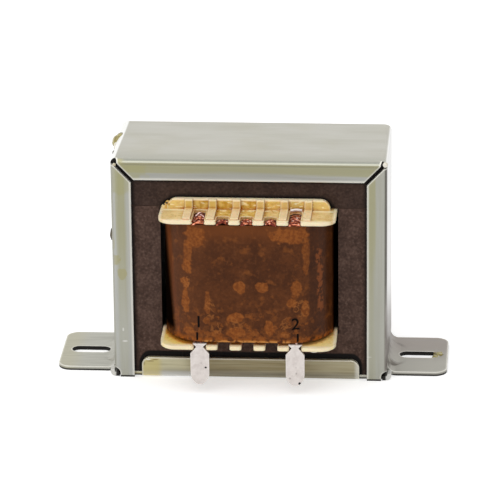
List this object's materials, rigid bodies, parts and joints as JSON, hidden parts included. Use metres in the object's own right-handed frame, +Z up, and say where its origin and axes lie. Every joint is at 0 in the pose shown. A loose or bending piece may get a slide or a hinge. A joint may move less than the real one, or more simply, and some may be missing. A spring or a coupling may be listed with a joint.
{
  "type": "filter choke",
  "caption": "Open frame filter choke: a wound bobbin on a gapped laminated core, clamped by a folded steel channel frame with slotted feet and flat solder lugs.",
  "frame": {"origin": "middle of the mounting face, under the core", "axes": "X along the two feet, Y from the lug side to the back, Z up from the mounting face"},
  "size_m": [0.0846, 0.044, 0.0497],
  "materials": {
    "frame_steel": "pale zinc plating with a thin, slightly yellow coat of dipping varnish",
    "base_steel": "zinc plating under a yellower coat of varnish",
    "core_steel": "lamination steel under dark brown varnish, satin",
    "gap_paper": "insulating paper, soaked dark brown with varnish",
    "bobbin_plastic": "cream moulded nylon with amber varnish in its corners",
    "copper": "enamelled copper wire",
    "tape": "brown tape with orange blotches of varnish, satin",
    "tinned": "dull hot tinning",
    "solder": "soft solder",
    "varnish": "hardened olive yellow dipping varnish, glossy"
  },
  "bodies": {
    "root": {"clamp_frame": "frame_steel", "base_plate": "base_steel", "e_laminations": "core_steel", "i_laminations": "core_steel", "air_gap_paper": "gap_paper", "bobbin": "bobbin_plastic", "winding": "copper", "coil_wrap": "tape", "finish_lug": "tinned", "start_lug": "tinned", "finish_lead": "copper", "start_lead": "copper", "finish_solder": "solder", "start_solder": "solder", "varnish_bead": "varnish"}
  },
  "joints": []
}
